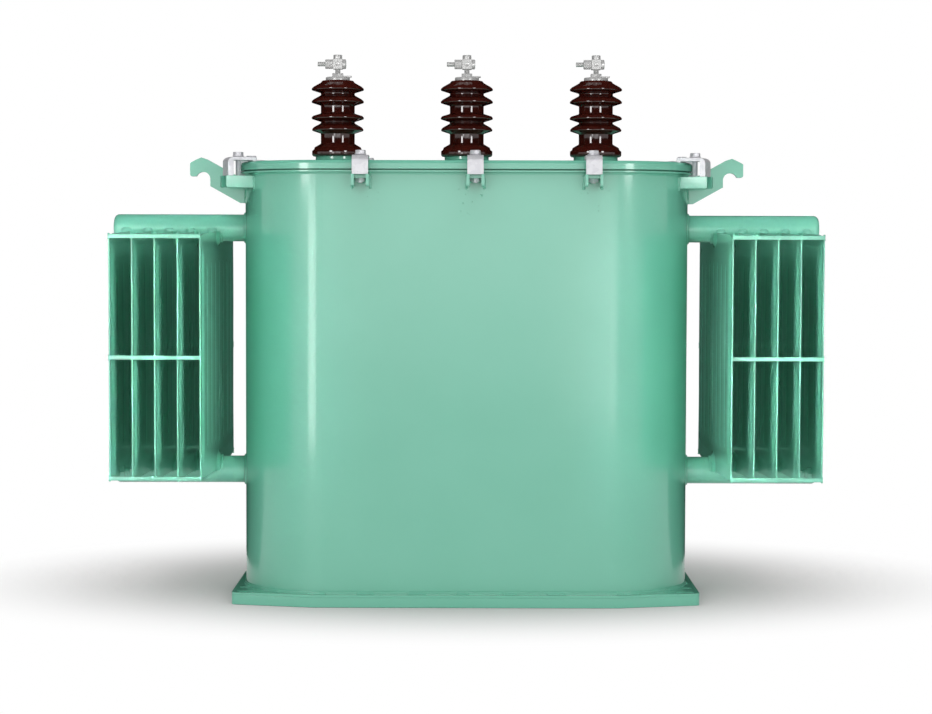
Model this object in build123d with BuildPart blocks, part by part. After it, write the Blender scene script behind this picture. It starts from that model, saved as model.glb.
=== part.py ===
"""Three-phase distribution transformer in an obround tank with pressed-fin radiators.

Millimetres. X runs along the tank, -Y is the front, +Z is up.
The origin is the middle of the footprint, at floor level.
"""

from build123d import *
from math import cos, radians, sin
import os

# Tank: welded sheet, flat front and back, half-round ends
tank_length = 994
tank_depth = 370
tank_height = 925
tank_wall_thickness = 3
tank_bottom_thickness = 4.5
tank_bottom_overhang = 3.5

# Rim: the tank's wall rolled outwards under the cover
rim_overhang = 9.75
rim_lip_thickness = 3
rim_neck_height = 26
rim_flare_radius = 6.5

# Cover: a pressed pan with a turned-down rim, on a seal
cover_rim_height = 18.6
cover_thickness = 3
cover_edge_radius = 6.5
cover_gap = 3.4
gasket_clearance = 0.25
gasket_width = 6

# Base: an eight-sided plate on folded lips, slotted for its bolts
base_length = 1030
base_depth = 404
base_front_length = 664
base_side_length = 322
base_plate_thickness = 5
base_lip_height = 22
base_lip_thickness = 8
base_lip_return = 12
base_side_corner_radius = 10
base_front_corner_radius = 12
outer_slot_spacing_x = 968
outer_slot_side_inset = 13
outer_slot_length = 40
outer_slot_width = 16
inner_slot_spacing_x = 986
inner_slot_spacing_y = 176
inner_slot_length = 22
inner_slot_width = 14

# High-voltage bushings: brown porcelain on raised seats
hv_spacing = 290
seat_flange_diameter = 110
seat_flange_height = 3
seat_shoulder_height = 7.5
seat_ring_diameter = 99
seat_height = 14.8
porcelain_height = 169.5
foot_diameter = 116
foot_edge_height = 13
foot_shoulder_diameter = 104
foot_shoulder_height = 21
foot_height = 28.5
foot_bottom_radius = 5
foot_edge_radius = 4
neck_diameter = 76
shed_diameter = 117
shed_edge_height = 3.5
shed_lower_radius_share = 0.60
shed_upper_radius_share = 0.80
shed_shoulder_diameter = 102
shed_shoulder_rise = 6
shed_shoulder_radius = 8
shed_rise = 10.5
shed_undercut = 6.5
shed_root_radius = 2.5
shed_level_shares = (0.351, 0.506, 0.720, 0.886)
head_diameter = 70
head_radius = 3

# High-voltage terminals
cap_diameter = 54
cap_height = 8
cap_edge_radius = 1.5
cap_tab_reach = 31
cap_tab_width = 15
cap_tab_thickness = 3
lock_nut_width = 24
lock_nut_height = 8.7
stem_diameter = 12
stem_height = 9.3
block_width = 22
block_height = 22.8
block_chamfer = 2.5
block_dimple_diameter = 9
block_dimple_depth = 1.2
top_screw_width = 17
top_screw_height = 9.1
sleeve_nut_width = 20.5
sleeve_nut_length = 17
lead_stud_diameter = 10.7
lead_stud_length = 17
tail_head_diameter = 21.8
tail_head_length = 7.5
tail_head_radius = 2

# Lifting hooks: flame-cut plates on the tank's ends
hook_thickness = 12
hook_level = 884
hook_root_height = 50
hook_foot_length = 12.5
hook_throat_height = 37.5
hook_notch_reach = 95.5
hook_notch_height = 53.5
hook_notch_radius = 16
hook_reach = 124.8
hook_nose_bottom = 59.5
hook_nose_top = 89.7
hook_shoulder_reach = 110.5
hook_shoulder_height = 97.2
hook_crown_reach = 99.5
hook_crown_height = 102
hook_back_reach = 86.5
hook_back_height = 97.8
hook_nose_radius = 5
hook_crown_radius = 22

# Cover clamps: bent straps pulled down by a bolt in a channel bracket
clamp_width = 35
clamp_reach = 59
clamp_toe_reach = 8
clamp_toe_length = 9
clamp_toe_height = 3
clamp_arm_thickness = 11.3
clamp_leg_thickness = 13
clamp_bend_radius = 17
clamp_inner_radius = 9
clamp_bolt_reach = 29
clamp_bolt_diameter = 12
clamp_bolt_clearance = 1
clamp_bolt_width = 18
clamp_bolt_head_height = 7.5
clamp_nut_height = 8
clamp_bolt_end = 2
clamp_washer_diameter = 25
clamp_washer_thickness = 2.2
clamp_front_shares = (-0.230, 0.019, 0.275)
clamp_front_end_angle = 26
clamp_rear_end_angle = 31
bracket_level = 916
bracket_height = 26
bracket_length = 64
bracket_gap = 25.4
bracket_ear_thickness = 6.6
bracket_web_thickness = 8
bracket_web_margin = 13
bracket_corner_radius = 4
bolt_fit = 0.3

# Radiators: pressed fins between an upper and a lower header pipe
header_diameter = 60.3
header_wall = 3.2
header_cap_thickness = 6
header_cap_radius = 11
header_reach = 295
upper_header_level = 828
lower_header_level = 283
header_fit = 0.3
fin_count = 5
fin_pitch = 48
first_fin_reach = 65
fin_width = 650
fin_top_drop = 20.5
fin_bottom_rise = 12
fin_shoulder_width = 540
fin_shoulder_rise = 6
fin_apex_rise = 13
fin_seam_thickness = 3
fin_side_seam_width = 16.5
fin_top_seam_width = 24
fin_bottom_seam_width = 34
fin_body_thickness = 8.5
fin_body_corner_radius = 18
fin_body_chamfer = 2.4
fin_channel_count = 8
fin_groove_width = 13
fin_groove_depth = 2.6
fin_groove_flank_angle = 35
fin_groove_point = 14
fin_groove_margin = 36
tie_bar_height = 8.4
tie_bar_thickness = 5

# Low-voltage bushings on the rear wall
lv_count = 4
lv_spacing = 150
lv_level = 846
lv_porcelain_length = 74
lv_foot_diameter = 80
lv_foot_length = 18
lv_foot_radius = 5
lv_neck_diameter = 48
lv_shed_diameter = 68
lv_shed_reach = 36
lv_shed_thickness = 9
lv_shed_radius = 3.5
lv_head_diameter = 42
lv_head_radius = 3
lv_washer_diameter = 36
lv_washer_thickness = 3
lv_nut_width = 27
lv_nut_length = 11
lv_flag_width = 36
lv_flag_length = 46
lv_flag_thickness = 8
lv_flag_corner_radius = 6
lv_flag_hole_diameter = 14
lv_flag_hole_edge = 17

# Drain plug and earthing boss low on the rear wall
plug_reach = 250
plug_level = 75
plug_boss_diameter = 42
plug_boss_length = 14
plug_head_width = 19
plug_head_length = 12
earth_reach = 250
earth_level = 90
earth_pad_diameter = 34
earth_pad_length = 10
earth_bolt_width = 18
earth_bolt_length = 8

cut_overrun = 2

# Levels and places that follow from the sizes above
base_top = base_lip_height + base_plate_thickness
outer_slot_spacing_y = base_side_length - 2 * outer_slot_side_inset
wall_level = base_top + tank_bottom_thickness
rim_level = base_top + tank_height
neck_level = rim_level - rim_neck_height
cover_rim_level = rim_level + cover_gap
cover_top = cover_rim_level + cover_rim_height
seat_top = cover_top + seat_height
porcelain_top = seat_top + porcelain_height
tank_half_length = tank_length / 2
tank_half_depth = tank_depth / 2
flat_half_length = tank_half_length - tank_half_depth
bracket_top = bracket_level + bracket_height
bracket_width = bracket_gap + 2 * bracket_ear_thickness
bracket_web_level = bracket_top - bracket_web_thickness
bracket_web_reach = clamp_bolt_reach + bracket_web_margin
clamp_arm_level = cover_top + clamp_toe_height
clamp_top = clamp_arm_level + clamp_arm_thickness
fin_top = upper_header_level - fin_top_drop
fin_bottom = lower_header_level + fin_bottom_rise
hv_places = {"left": -hv_spacing, "middle": 0, "right": hv_spacing}
end_signs = {"left": -1, "right": 1}


def upright_plane(wall_x, wall_y, outward_x, outward_y, level=0):
    """Plane with its x pointing outwards from a place on the tank's wall and its y upwards."""
    return Plane(
        origin=(wall_x, wall_y, level),
        x_dir=(outward_x, outward_y, 0),
        z_dir=(outward_y, -outward_x, 0),
    )


def level_plane(station, level):
    """Level plane over a station on the tank's wall, with its x pointing outwards."""
    return Plane(
        origin=(station.origin.X, station.origin.Y, level),
        x_dir=station.x_dir,
        z_dir=(0, 0, 1),
    )


def obround(level, height, outer, inner=None, mode=Mode.ADD):
    """Obround slab, or ring where inner is given, set out from the tank's outline."""
    with BuildSketch(Plane.XY.offset(level)) as outline:
        SlotOverall(tank_length + 2 * outer, tank_depth + 2 * outer)
        if inner is not None:
            SlotOverall(tank_length + 2 * inner, tank_depth + 2 * inner, mode=Mode.SUBTRACT)
    extrude(to_extrude=outline.sketch, amount=height, mode=mode)


def cope_to_tank():
    """Shape the ends of welded-on pieces to the tank's outer face."""
    obround(base_top, tank_height, 0, mode=Mode.SUBTRACT)


def hexagon(across_flats):
    RegularPolygon(across_flats / 2, 6, major_radius=False)


def finish(piece, name):
    """Label a finished piece and write it as its own file."""
    piece.part.label = name
    export_step(piece.part, f"parts/{name}.step")


def base_outline():
    """Eight-sided outline of the base."""
    with BuildSketch() as outline:
        with BuildLine():
            Polyline(
                (base_length / 2, 0),
                (base_length / 2, base_side_length / 2),
                (base_front_length / 2, base_depth / 2),
                (0, base_depth / 2),
            )
            mirror(about=Plane.YZ)
            mirror(about=Plane.XZ)
        make_face()
        corners = vertices()
        side_corners = corners.group_by(Axis.X)[0] + corners.group_by(Axis.X)[-1]
        front_corners = corners.group_by(Axis.Y)[0] + corners.group_by(Axis.Y)[-1]
        fillet(side_corners, radius=base_side_corner_radius)
        fillet(front_corners, radius=base_front_corner_radius)
    return outline.sketch


os.makedirs("parts", exist_ok=True)

# Base plate with its bolt slots
with BuildPart() as base_plate:
    with BuildSketch(Plane.XY.offset(base_lip_height)):
        add(base_outline())
        with GridLocations(outer_slot_spacing_x, outer_slot_spacing_y, 2, 2):
            SlotOverall(outer_slot_length, outer_slot_width, mode=Mode.SUBTRACT)
        with GridLocations(inner_slot_spacing_x, inner_slot_spacing_y, 2, 2):
            SlotOverall(inner_slot_length, inner_slot_width, mode=Mode.SUBTRACT)
    extrude(amount=base_plate_thickness)
finish(base_plate, "base_plate")

# Lips that the plate stands on, along its front and rear edges and round their corners
with BuildPart() as base_lips:
    with BuildSketch():
        add(base_outline())
    extrude(amount=base_lip_height)
    with BuildSketch():
        add(base_outline())
        offset(amount=-base_lip_thickness, kind=Kind.INTERSECTION, mode=Mode.REPLACE)
        Rectangle(base_length + cut_overrun, base_side_length - 2 * base_lip_return)
    extrude(amount=base_lip_height, mode=Mode.SUBTRACT)
finish(base_lips, "base_lips")

# Tank shell
with BuildPart() as tank_bottom:
    obround(base_top, tank_bottom_thickness, tank_bottom_overhang)
finish(tank_bottom, "tank_bottom")

with BuildPart() as tank_wall:
    obround(wall_level, neck_level - wall_level, 0, -tank_wall_thickness)
finish(tank_wall, "tank_wall")

with BuildPart() as tank_rim:
    lip_level = rim_level - rim_lip_thickness
    obround(neck_level, rim_neck_height, 0)
    obround(lip_level, rim_lip_thickness, rim_overhang)
    lip_edges = edges().filter_by_position(Axis.Z, lip_level, lip_level)
    lip_root = lip_edges.filter_by(lambda edge: edge.is_interior)
    fillet(lip_root, radius=rim_flare_radius)
    obround(neck_level, rim_neck_height, -tank_wall_thickness, mode=Mode.SUBTRACT)
finish(tank_rim, "tank_rim")

# Seal, thick enough to hold the pan's turned-down rim clear of the tank's lip
with BuildPart() as cover_gasket:
    gasket_edge = rim_overhang - cover_edge_radius - gasket_clearance
    gasket_height = cover_gap + cover_rim_height - cover_thickness
    obround(rim_level, gasket_height, gasket_edge, gasket_edge - gasket_width)
finish(cover_gasket, "cover_gasket")

with BuildPart() as cover:
    obround(cover_rim_level, cover_rim_height, rim_overhang)
    fillet(faces().sort_by(Axis.Z)[-1].edges(), radius=cover_edge_radius)
    offset(amount=-cover_thickness, openings=faces().sort_by(Axis.Z)[0])
finish(cover, "cover")

# Raised seats that carry the high-voltage bushings
with BuildPart() as hv_seats:
    for place in hv_places.values():
        with BuildSketch(Plane(origin=(place, 0, cover_top), x_dir=(1, 0, 0), z_dir=(0, -1, 0))):
            Polygon(
                (0, 0),
                (seat_flange_diameter / 2, 0),
                (seat_flange_diameter / 2, seat_flange_height),
                (seat_ring_diameter / 2, seat_shoulder_height),
                (seat_ring_diameter / 2, seat_height),
                (0, seat_height),
                align=None,
            )
        revolve(axis=Axis((place, 0, 0), (0, 0, 1)))
finish(hv_seats, "hv_seats")


def hv_porcelain_section():
    """Half section of a bushing about x = 0: domed foot, neck, four drooping sheds and head."""
    foot = foot_diameter / 2
    foot_shoulder = foot_shoulder_diameter / 2
    neck = neck_diameter / 2
    shed = shed_diameter / 2
    shed_shoulder = shed_shoulder_diameter / 2
    head = head_diameter / 2
    outline = [(0, 0), (foot, 0), (foot, foot_edge_height), (foot_shoulder, foot_shoulder_height)]
    outline.append((neck, foot_height))
    for share in shed_level_shares:
        lower = share * porcelain_height - shed_edge_height / 2
        upper = lower + shed_edge_height
        outline += [(neck, lower - shed_undercut), (shed, lower), (shed, upper)]
        outline.append((shed_shoulder, upper + shed_shoulder_rise))
        if share < shed_level_shares[-1]:
            outline.append((neck, upper + shed_rise))
    outline += [(head, porcelain_height), (0, porcelain_height)]
    Polygon(*outline, align=None)
    corners = vertices()
    foot_corners = corners.filter_by_position(Axis.X, foot, foot).sort_by(Axis.Y)
    shed_corners = corners.filter_by_position(Axis.X, shed, shed).sort_by(Axis.Y)
    shoulders = corners.filter_by_position(Axis.X, shed_shoulder, shed_shoulder)
    shoulders += corners.filter_by_position(Axis.X, foot_shoulder, foot_shoulder)
    fillet(shoulders, radius=shed_shoulder_radius)
    fillet(corners.filter_by_position(Axis.X, neck, neck), radius=shed_root_radius)
    fillet(foot_corners[0], radius=foot_bottom_radius)
    fillet(foot_corners[1], radius=foot_edge_radius)
    fillet(shed_corners[0::2], radius=shed_lower_radius_share * shed_edge_height)
    fillet(shed_corners[1::2], radius=shed_upper_radius_share * shed_edge_height)
    fillet(corners.filter_by_position(Axis.X, head, head), radius=head_radius)


for side, place in hv_places.items():
    with BuildPart() as hv_bushing:
        with BuildSketch(Plane(origin=(place, 0, seat_top), x_dir=(1, 0, 0), z_dir=(0, -1, 0))):
            hv_porcelain_section()
        revolve(axis=Axis((place, 0, 0), (0, 0, 1)))
    finish(hv_bushing, f"hv_bushing_{side}")

# High-voltage terminals: cap, lock nut, stem and a clamping block with its screws
nut_level = porcelain_top + cap_height
stem_level = nut_level + lock_nut_height
block_level = stem_level + stem_height
block_middle = block_level + block_height / 2
block_top = block_level + block_height
for side, place in hv_places.items():
    with BuildPart() as hv_terminal:
        with BuildSketch(Plane(origin=(place, 0, porcelain_top))):
            Circle(cap_diameter / 2)
        extrude(amount=cap_height)
        fillet(faces().sort_by(Axis.Z)[-1].edges(), radius=cap_edge_radius)
        with BuildSketch(Plane(origin=(place, 0, nut_level))):
            Rectangle(cap_tab_reach, cap_tab_width, align=(Align.MIN, Align.CENTER))
        extrude(amount=cap_tab_thickness)
        with BuildSketch(Plane(origin=(place, 0, nut_level))):
            hexagon(lock_nut_width)
        extrude(amount=lock_nut_height)
        with BuildSketch(Plane(origin=(place, 0, stem_level))):
            Circle(stem_diameter / 2)
        extrude(amount=stem_height)
        with BuildSketch(Plane(origin=(place, 0, block_level))):
            Rectangle(block_width, block_width)
        extrude(amount=block_height)
        block_foot = edges().filter_by_position(Axis.Z, block_level, block_level)
        chamfer(block_foot.filter_by(GeomType.LINE), length=block_chamfer)
        front = Plane(origin=(place, -block_width / 2, block_middle), x_dir=(1, 0, 0), z_dir=(0, -1, 0))
        with BuildSketch(front):
            Circle(block_dimple_diameter / 2)
        extrude(amount=-block_dimple_depth, mode=Mode.SUBTRACT)
        with BuildSketch(Plane(origin=(place, 0, block_top))):
            hexagon(top_screw_width)
        extrude(amount=top_screw_height)
        lead_origin = (place - block_width / 2, 0, block_middle)
        lead = Plane(origin=lead_origin, x_dir=(0, 1, 0), z_dir=(-1, 0, 0))
        with BuildSketch(lead):
            hexagon(sleeve_nut_width)
        extrude(amount=sleeve_nut_length)
        with BuildSketch(lead.offset(sleeve_nut_length)):
            Circle(lead_stud_diameter / 2)
        extrude(amount=lead_stud_length)
        with BuildSketch(lead.offset(-block_width)):
            Circle(tail_head_diameter / 2)
        extrude(amount=-tail_head_length)
        tail_end = place + block_width / 2 + tail_head_length
        fillet(edges().filter_by_position(Axis.X, tail_end, tail_end), radius=tail_head_radius)
    finish(hv_terminal, f"hv_terminal_{side}")


def hook_section():
    """Side view of a lifting hook: root on the tank, arm, crown, nose and downward notch."""
    notch_middle = hook_level + hook_notch_height
    notch_inside = hook_notch_reach - hook_notch_radius
    nose_level = hook_level + hook_nose_bottom
    nose_rise = nose_level - notch_middle
    notch_outside = hook_notch_reach + (hook_notch_radius**2 - nose_rise**2) ** 0.5
    with BuildSketch() as section:
        with BuildLine():
            Polyline(
                (notch_inside, notch_middle),
                (notch_inside, hook_level + hook_throat_height),
                (hook_foot_length, hook_level),
                (-cut_overrun, hook_level),
                (-cut_overrun, hook_level + hook_root_height),
                (0, hook_level + hook_root_height),
                (hook_back_reach, hook_level + hook_back_height),
                (hook_crown_reach, hook_level + hook_crown_height),
                (hook_shoulder_reach, hook_level + hook_shoulder_height),
                (hook_reach, hook_level + hook_nose_top),
                (hook_reach, nose_level),
                (notch_outside, nose_level),
            )
            ThreePointArc(
                (notch_outside, nose_level),
                (hook_notch_reach, notch_middle + hook_notch_radius),
                (notch_inside, notch_middle),
            )
        make_face()
        corners = vertices()
        fillet(corners.filter_by_position(Axis.X, hook_reach, hook_reach), radius=hook_nose_radius)
        fillet(corners.sort_by(Axis.Y)[-3:], radius=hook_crown_radius)
    return section.sketch


for side, sign in end_signs.items():
    with BuildPart() as lifting_hook:
        with BuildSketch(upright_plane(sign * tank_half_length, 0, sign, 0)):
            add(hook_section())
        extrude(amount=hook_thickness / 2, both=True)
        cope_to_tank()
    finish(lifting_hook, f"lifting_hook_{side}")


def end_stations(sign):
    """Places of the two clamps on one round end, each side of the lifting hook."""
    stations = []
    for angle in (-clamp_front_end_angle, clamp_rear_end_angle):
        outward_x = sign * cos(radians(angle))
        outward_y = sin(radians(angle))
        wall_x = sign * flat_half_length + tank_half_depth * outward_x
        stations.append(upright_plane(wall_x, tank_half_depth * outward_y, outward_x, outward_y))
    return stations


def long_side_stations(sign):
    """Places of the three clamps along the front or the rear."""
    return [
        upright_plane(share * tank_length, sign * tank_half_depth, 0, sign)
        for share in clamp_front_shares
    ]


clamp_stations = {
    "front": long_side_stations(-1),
    "rear": long_side_stations(1),
    "left": end_stations(-1),
    "right": end_stations(1),
}


def bracket(station):
    """Channel bracket welded to the wall: two ears under a drilled web, open below and at the end."""
    with BuildPart() as piece:
        with BuildSketch(station):
            with Locations((-cut_overrun, bracket_level)):
                Rectangle(bracket_length + cut_overrun, bracket_height, align=Align.MIN)
            outer_corners = vertices().group_by(Axis.X)[-1].sort_by(Axis.Y)
            fillet(outer_corners[0], radius=bracket_corner_radius)
        extrude(amount=bracket_width / 2, both=True)
        with BuildSketch(station):
            Polygon(
                (-2 * cut_overrun, bracket_level - cut_overrun),
                (bracket_length + cut_overrun, bracket_level - cut_overrun),
                (bracket_length + cut_overrun, bracket_top + cut_overrun),
                (bracket_web_reach, bracket_top + cut_overrun),
                (bracket_web_reach, bracket_web_level),
                (-2 * cut_overrun, bracket_web_level),
                align=None,
            )
        extrude(amount=bracket_gap / 2, both=True, mode=Mode.SUBTRACT)
        with BuildSketch(level_plane(station, bracket_web_level)):
            with Locations((clamp_bolt_reach, 0)):
                Circle(clamp_bolt_diameter / 2 + bolt_fit)
        extrude(amount=bracket_web_thickness, mode=Mode.SUBTRACT)
    return piece.part


def strap(station):
    """Clamp strap: heel leg on the bracket, bend, arm over the cover's rim and pressing toe."""
    leg_inside = clamp_reach - clamp_leg_thickness
    toe_end = clamp_toe_length - clamp_toe_reach
    with BuildPart() as piece:
        with BuildSketch(station):
            Polygon(
                (leg_inside, bracket_top),
                (clamp_reach, bracket_top),
                (clamp_reach, clamp_top),
                (-clamp_toe_reach, clamp_top),
                (-clamp_toe_reach, cover_top),
                (toe_end, cover_top),
                (toe_end, clamp_arm_level),
                (leg_inside, clamp_arm_level),
                align=None,
            )
            outer_corners = vertices().group_by(Axis.X)[-1].sort_by(Axis.Y)
            inner_corners = vertices().group_by(Axis.X)[-2].sort_by(Axis.Y)
            fillet(outer_corners[-1], radius=clamp_bend_radius)
            fillet(inner_corners[-1], radius=clamp_inner_radius)
        extrude(amount=clamp_width / 2, both=True)
        with BuildSketch(level_plane(station, clamp_arm_level)):
            with Locations((clamp_bolt_reach, 0)):
                Circle(clamp_bolt_diameter / 2 + clamp_bolt_clearance)
        extrude(amount=clamp_arm_thickness, mode=Mode.SUBTRACT)
    return piece.part


def clamp_bolt(station):
    """Bolt with its washer over the strap and its nut under the bracket's web."""
    nut_bottom = bracket_web_level - clamp_nut_height
    bolt_end_level = nut_bottom - clamp_bolt_end
    with BuildPart() as piece:
        with BuildSketch(level_plane(station, bolt_end_level)):
            with Locations((clamp_bolt_reach, 0)):
                Circle(clamp_bolt_diameter / 2)
        extrude(amount=clamp_top - bolt_end_level)
        with BuildSketch(level_plane(station, clamp_top)):
            with Locations((clamp_bolt_reach, 0)):
                Circle(clamp_washer_diameter / 2)
        extrude(amount=clamp_washer_thickness)
        with BuildSketch(level_plane(station, clamp_top + clamp_washer_thickness)):
            with Locations((clamp_bolt_reach, 0)):
                hexagon(clamp_bolt_width)
        extrude(amount=clamp_bolt_head_height)
        with BuildSketch(level_plane(station, nut_bottom)):
            with Locations((clamp_bolt_reach, 0)):
                hexagon(clamp_bolt_width)
        extrude(amount=clamp_nut_height)
    return piece.part


for side, stations in clamp_stations.items():
    brackets = [bracket(station) for station in stations]
    with BuildPart() as clamp_brackets:
        add(brackets)
        cope_to_tank()
    finish(clamp_brackets, f"clamp_brackets_{side}")

    straps = [strap(station) for station in stations]
    with BuildPart() as cover_clamps:
        add(straps)
    finish(cover_clamps, f"cover_clamps_{side}")

bolts = [clamp_bolt(station) for stations in clamp_stations.values() for station in stations]
with BuildPart() as clamp_bolts:
    add(bolts)
finish(clamp_bolts, "clamp_bolts")


def fin_outline(side_inset, top_inset, bottom_inset):
    """Outline of a fin, set in from its edge: straight sides, shoulders, an apex at each header."""
    side_reach = fin_width / 2 - side_inset
    shoulder_reach = fin_shoulder_width / 2 - side_inset
    top = fin_top - top_inset
    bottom = fin_bottom + bottom_inset
    with BuildSketch() as outline:
        with BuildLine():
            Polyline(
                (0, bottom - fin_apex_rise),
                (shoulder_reach, bottom - fin_shoulder_rise),
                (side_reach, bottom),
                (side_reach, top),
                (shoulder_reach, top + fin_shoulder_rise),
                (0, top + fin_apex_rise),
            )
            mirror(about=Plane.YZ)
        make_face()
    return outline.sketch


def fin_grooves(fin_plane):
    """Pressed grooves with pointed ends that part one face of a fin into channels."""
    body_top = fin_top - fin_top_seam_width
    body_bottom = fin_bottom + fin_bottom_seam_width
    channel_pitch = (fin_width - 2 * fin_side_seam_width) / fin_channel_count
    groove_half_width = fin_groove_width / 2
    groove_half_length = (body_top - body_bottom) / 2 - fin_groove_margin
    groove_shoulder = groove_half_length - fin_groove_point
    with BuildSketch(fin_plane.offset(fin_body_thickness / 2)) as grooves:
        with Locations((0, (body_top + body_bottom) / 2)):
            with GridLocations(channel_pitch, 0, fin_channel_count - 1, 1):
                Polygon(
                    (0, -groove_half_length),
                    (groove_half_width, -groove_shoulder),
                    (groove_half_width, groove_shoulder),
                    (0, groove_half_length),
                    (-groove_half_width, groove_shoulder),
                    (-groove_half_width, -groove_shoulder),
                    align=None,
                )
    extrude(
        to_extrude=grooves.sketch,
        amount=-fin_groove_depth,
        taper=fin_groove_flank_angle,
        mode=Mode.SUBTRACT,
    )


# Radiators: each fin is two pressed sheets, seam-welded round the edge, let in round the headers
for side, sign in end_signs.items():
    for number in range(fin_count):
        fin_x = sign * (tank_half_length + first_fin_reach + number * fin_pitch)
        fin_plane = Plane(origin=(fin_x, 0, 0), x_dir=(0, 1, 0), z_dir=(1, 0, 0))
        with BuildPart() as fin:
            with BuildSketch(fin_plane):
                add(fin_outline(fin_side_seam_width, fin_top_seam_width, fin_bottom_seam_width))
                fillet(vertices(), radius=fin_body_corner_radius)
            extrude(amount=fin_body_thickness / 2, both=True)
            body_faces = faces().filter_by(Axis.X)
            chamfer(body_faces.edges(), length=fin_body_chamfer)
            fin_grooves(fin_plane)
            fin_grooves(Plane(origin=(fin_x, 0, 0), x_dir=(0, 1, 0), z_dir=(-1, 0, 0)))
            with BuildSketch(fin_plane):
                add(fin_outline(0, 0, 0))
            extrude(amount=fin_seam_thickness / 2, both=True)
            with BuildSketch(fin_plane):
                with Locations((0, upper_header_level), (0, lower_header_level)):
                    Circle(header_diameter / 2 + header_fit)
            extrude(amount=fin_body_thickness, both=True, mode=Mode.SUBTRACT)
        finish(fin, f"fin_{side}_{number + 1}")

    for place, level in {"upper": upper_header_level, "lower": lower_header_level}.items():
        pipe_start = sign * (tank_half_length - tank_wall_thickness)
        pipe_plane = Plane(origin=(pipe_start, 0, level), x_dir=(0, 1, 0), z_dir=(sign, 0, 0))
        pipe_length = header_reach + tank_wall_thickness
        with BuildPart() as header:
            with BuildSketch(pipe_plane):
                Circle(header_diameter / 2)
            extrude(amount=pipe_length)
            cap_face = faces().filter_by(Axis.X).sort_by(Axis.X)[-1 if sign > 0 else 0]
            fillet(cap_face.edges(), radius=header_cap_radius)
            with BuildSketch(pipe_plane):
                Circle(header_diameter / 2 - header_wall)
            extrude(amount=pipe_length - header_cap_radius - header_cap_thickness, mode=Mode.SUBTRACT)
            cope_to_tank()
        finish(header, f"{place}_header_{side}")

    # Flat bars that tie the fins' front and rear edges, at top, middle and bottom
    bar_length = (fin_count - 1) * fin_pitch + fin_seam_thickness
    bar_x = sign * (tank_half_length + first_fin_reach + (fin_count - 1) * fin_pitch / 2)
    bar_y = (fin_width + tie_bar_thickness) / 2
    with BuildPart() as tie_bars:
        for level in (fin_bottom, (fin_bottom + fin_top) / 2, fin_top):
            with Locations((bar_x, -bar_y, level), (bar_x, bar_y, level)):
                Box(bar_length, tie_bar_thickness, tie_bar_height)
    finish(tie_bars, f"tie_bars_{side}")

# Low-voltage bushings in a row on the rear wall, each with a drilled flag terminal
lv_places = [(index - (lv_count - 1) / 2) * lv_spacing for index in range(lv_count)]
lv_head_reach = tank_half_depth + lv_porcelain_length
lv_nut_reach = lv_head_reach + lv_washer_thickness
lv_flag_reach = lv_nut_reach + lv_nut_length


def lv_porcelain_section():
    """Half section of a low-voltage bushing, with x along its axis and y from it."""
    foot = lv_foot_diameter / 2
    neck = lv_neck_diameter / 2
    shed = lv_shed_diameter / 2
    head = lv_head_diameter / 2
    shed_end = lv_shed_reach + lv_shed_thickness
    Polygon(
        (0, 0),
        (0, foot),
        (lv_foot_length, foot),
        (lv_foot_length, neck),
        (lv_shed_reach, neck),
        (lv_shed_reach, shed),
        (shed_end, shed),
        (lv_porcelain_length, head),
        (lv_porcelain_length, 0),
        align=None,
    )
    corners = vertices()
    fillet(corners.filter_by_position(Axis.Y, foot, foot), radius=lv_foot_radius)
    fillet(corners.filter_by_position(Axis.Y, shed, shed), radius=lv_shed_radius)
    fillet(corners.filter_by_position(Axis.Y, head, head), radius=lv_head_radius)


with BuildPart() as lv_bushings:
    for place in lv_places:
        with BuildSketch(upright_plane(place, tank_half_depth, 0, 1, lv_level)):
            lv_porcelain_section()
        revolve(axis=Axis((place, 0, lv_level), (0, 1, 0)))
finish(lv_bushings, "lv_bushings")

with BuildPart() as lv_terminals:
    for place in lv_places:
        head_plane = Plane(origin=(place, lv_head_reach, lv_level), x_dir=(1, 0, 0), z_dir=(0, 1, 0))
        with BuildSketch(head_plane):
            Circle(lv_washer_diameter / 2)
        extrude(amount=lv_washer_thickness)
        with BuildSketch(head_plane.offset(lv_washer_thickness)):
            hexagon(lv_nut_width)
        extrude(amount=lv_nut_length)
        flag_plane = Plane(origin=(place, lv_flag_reach, lv_level))
        with BuildSketch(flag_plane):
            Rectangle(lv_flag_width, lv_flag_length, align=(Align.CENTER, Align.MIN))
            outer_corners = vertices().group_by(Axis.Y)[-1]
            fillet(outer_corners, radius=lv_flag_corner_radius)
            with Locations((0, lv_flag_length - lv_flag_hole_edge)):
                Circle(lv_flag_hole_diameter / 2, mode=Mode.SUBTRACT)
        extrude(amount=lv_flag_thickness / 2, both=True)
finish(lv_terminals, "lv_terminals")

# Drain plug and earthing boss, welded low on the rear wall
with BuildPart() as drain_plug:
    plug_origin = (plug_reach, tank_half_depth, plug_level)
    plug_plane = Plane(origin=plug_origin, x_dir=(1, 0, 0), z_dir=(0, 1, 0))
    with BuildSketch(plug_plane):
        Circle(plug_boss_diameter / 2)
    extrude(amount=plug_boss_length)
    with BuildSketch(plug_plane.offset(plug_boss_length)):
        Rectangle(plug_head_width, plug_head_width)
    extrude(amount=plug_head_length)
finish(drain_plug, "drain_plug")

with BuildPart() as earth_terminal:
    earth_origin = (-earth_reach, tank_half_depth, earth_level)
    earth_plane = Plane(origin=earth_origin, x_dir=(1, 0, 0), z_dir=(0, 1, 0))
    with BuildSketch(earth_plane):
        Circle(earth_pad_diameter / 2)
    extrude(amount=earth_pad_length)
    with BuildSketch(earth_plane.offset(earth_pad_length)):
        hexagon(earth_bolt_width)
    extrude(amount=earth_bolt_length)
finish(earth_terminal, "earth_terminal")
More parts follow.
